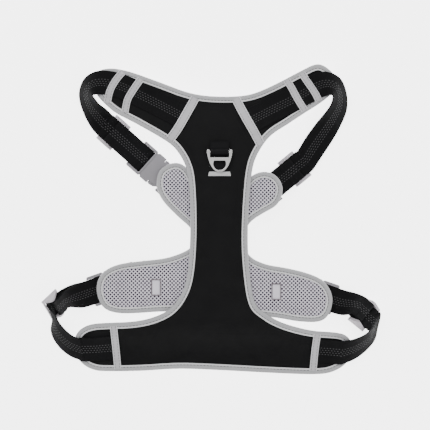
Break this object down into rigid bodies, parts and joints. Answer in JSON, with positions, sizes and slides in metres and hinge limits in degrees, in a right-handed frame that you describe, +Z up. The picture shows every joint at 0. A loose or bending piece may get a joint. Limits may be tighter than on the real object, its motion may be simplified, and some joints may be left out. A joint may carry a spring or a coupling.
{
  "type": "no pull dog harness",
  "caption": "Padded Y-shaped no pull harness with a chest panel, adjustable webbing straps, side release buckles and two leash rings.",
  "frame": {"origin": "middle of the laid out harness, at the height of what it lies on", "axes": "+X across the harness, +Y towards the neck, +Z up from the surface it lies on"},
  "size_m": [0.3426, 0.3151, 0.0328],
  "materials": {
    "shell_cloth": "matte woven polyester",
    "mesh_lining": "spacer mesh with small round holes",
    "edge_tape": "grey reflective edge tape",
    "black_webbing": "black webbing with rows of small grey reflective stitches",
    "grey_webbing": "grey woven keeper tape",
    "plain_label": "plain light grey woven strip",
    "foam": "open cell foam",
    "moulded_plastic": "grey moulded acetal",
    "cast_metal": "satin cast zinc"
  },
  "bodies": {
    "harness": {"back_shell": "shell_cloth", "back_padding": "foam", "back_lining": "mesh_lining", "back_binding": "edge_tape", "chest_shell": "shell_cloth", "chest_padding": "foam", "chest_lining": "mesh_lining", "chest_binding": "edge_tape", "arm_tip_band_left": "grey_webbing", "arm_mid_band_left": "grey_webbing", "yoke_band_left": "grey_webbing", "arm_tip_band_right": "grey_webbing", "arm_mid_band_right": "grey_webbing", "yoke_band_right": "grey_webbing", "wing_band_left": "grey_webbing", "wing_band_right": "grey_webbing", "arm_webbing_left": "black_webbing", "arm_webbing_right": "black_webbing", "wing_webbing_left": "black_webbing", "wing_webbing_right": "black_webbing", "back_ring_webbing": "black_webbing", "back_ring_label": "plain_label", "chest_ring_webbing": "black_webbing", "chest_webbing": "black_webbing", "chest_bartacks": "grey_webbing", "neck_strap_left": "black_webbing", "neck_strap_right": "black_webbing", "girth_strap_left": "black_webbing", "girth_strap_right": "black_webbing", "neck_loop_right": "black_webbing", "neck_buckle_socket": "moulded_plastic", "girth_buckle_socket_left": "moulded_plastic", "girth_buckle_socket_right": "moulded_plastic", "neck_anchor": "black_webbing", "girth_anchor_left": "black_webbing", "girth_anchor_right": "black_webbing", "lobe_ring": "moulded_plastic", "lobe_tab": "black_webbing"},
    "back_leash_ring": {"back_ring": "cast_metal"},
    "chest_leash_ring": {"chest_ring": "cast_metal"},
    "neck_male": {"neck_buckle_male": "moulded_plastic", "neck_loop_left": "black_webbing"},
    "girth_male_left": {"girth_buckle_male_left": "moulded_plastic", "girth_loop_left": "black_webbing"},
    "girth_male_right": {"girth_buckle_male_right": "moulded_plastic", "girth_loop_right": "black_webbing"},
    "neck_prong_in": {"neck_prong_inner": "moulded_plastic"},
    "neck_prong_out": {"neck_prong_outer": "moulded_plastic"},
    "girth_left_prong_in": {"girth_prong_inner_left": "moulded_plastic"},
    "girth_left_prong_out": {"girth_prong_outer_left": "moulded_plastic"},
    "girth_right_prong_in": {"girth_prong_inner_right": "moulded_plastic"},
    "girth_right_prong_out": {"girth_prong_outer_right": "moulded_plastic"},
    "neck_adjuster_left": {"neck_slider_left": "moulded_plastic", "neck_slider_wrap_left": "black_webbing"},
    "neck_adjuster_right": {"neck_slider_right": "moulded_plastic", "neck_slider_wrap_right": "black_webbing"},
    "girth_adjuster_left": {"girth_slider_left": "moulded_plastic", "girth_slider_wrap_left": "black_webbing"},
    "girth_adjuster_right": {"girth_slider_right": "moulded_plastic", "girth_slider_wrap_right": "black_webbing"}
  },
  "joints": [
    {"name": "back_ring_hinge", "type": "hinge", "parent": "harness", "child": "back_leash_ring", "pos_m": [0.0071, 0.0673, 0.02573], "axis": [-1, 0, 0], "range_deg": [0, 140]},
    {"name": "chest_ring_hinge", "type": "hinge", "parent": "harness", "child": "chest_leash_ring", "pos_m": [0.0066, -0.044, 0.00657], "axis": [1, 0, 0], "range_deg": [0, 140]},
    {"name": "neck_buckle_release", "type": "slide", "parent": "harness", "child": "neck_male", "axis": [-0.7455, 0.6665, 0], "range_m": [0, 0.024], "deforming": ["neck_strap_left", "neck_prong_inner", "neck_prong_outer"]},
    {"name": "neck_prong_in_press", "type": "hinge", "parent": "neck_male", "child": "neck_prong_in", "pos_m": [-0.0576, 0.06038, 0.0048], "axis": [0, 0, -1], "range_deg": [0, 9], "stiffness_Nm_per_rad": 0.5},
    {"name": "neck_prong_out_press", "type": "hinge", "parent": "neck_male", "child": "neck_prong_out", "pos_m": [-0.06853, 0.04815, 0.0048], "axis": [0, 0, 1], "range_deg": [0, 9], "stiffness_Nm_per_rad": 0.5},
    {"name": "girth_buckle_release_left", "type": "slide", "parent": "harness", "child": "girth_male_left", "axis": [-0.9426, -0.3338, 0], "range_m": [0, 0.024], "deforming": ["girth_strap_left", "girth_prong_inner_left", "girth_prong_outer_left"]},
    {"name": "girth_left_prong_in_press", "type": "hinge", "parent": "girth_male_left", "child": "girth_left_prong_in", "pos_m": [-0.10749, -0.06, 0.0048], "axis": [0, 0, -1], "range_deg": [0, 9], "stiffness_Nm_per_rad": 0.5},
    {"name": "girth_left_prong_out_press", "type": "hinge", "parent": "girth_male_left", "child": "girth_left_prong_out", "pos_m": [-0.10201, -0.07546, 0.0048], "axis": [0, 0, 1], "range_deg": [0, 9], "stiffness_Nm_per_rad": 0.5},
    {"name": "girth_buckle_release_right", "type": "slide", "parent": "harness", "child": "girth_male_right", "axis": [0.9455, -0.3256, 0], "range_m": [0, 0.024], "deforming": ["girth_strap_right", "girth_prong_inner_right", "girth_prong_outer_right"]},
    {"name": "girth_right_prong_in_press", "type": "hinge", "parent": "girth_male_right", "child": "girth_right_prong_in", "pos_m": [0.10297, -0.08381, 0.0048], "axis": [0, 0, -1], "range_deg": [0, 9], "stiffness_Nm_per_rad": 0.5},
    {"name": "girth_right_prong_out_press", "type": "hinge", "parent": "girth_male_right", "child": "girth_right_prong_out", "pos_m": [0.10831, -0.0683, 0.0048], "axis": [0, 0, 1], "range_deg": [0, 9], "stiffness_Nm_per_rad": 0.5},
    {"name": "neck_adjuster_left_slide", "type": "slide", "parent": "neck_male", "child": "neck_adjuster_left", "axis": [0.7455, -0.6665, 0], "range_m": [-0.01, 0.02], "deforming": ["neck_loop_left"]},
    {"name": "neck_adjuster_right_slide", "type": "slide", "parent": "harness", "child": "neck_adjuster_right", "axis": [-0.7727, -0.6347, 0], "range_m": [-0.01, 0.017], "deforming": ["neck_loop_right", "neck_strap_right"]},
    {"name": "girth_adjuster_left_slide", "type": "slide", "parent": "girth_male_left", "child": "girth_adjuster_left", "axis": [0.6879, 0.6643, -0.2924], "range_m": [-0.006, 0.008], "deforming": ["girth_loop_left"]},
    {"name": "girth_adjuster_right_slide", "type": "slide", "parent": "girth_male_right", "child": "girth_adjuster_right", "axis": [-0.7696, 0.6232, -0.1392], "range_m": [-0.008, 0.012], "deforming": ["girth_loop_right"]}
  ],
  "couplings": [
    {"joint": "neck_prong_out_press", "follows": "neck_prong_in_press", "ratio": 1},
    {"joint": "girth_left_prong_out_press", "follows": "girth_left_prong_in_press", "ratio": 1},
    {"joint": "girth_right_prong_out_press", "follows": "girth_right_prong_in_press", "ratio": 1}
  ]
}
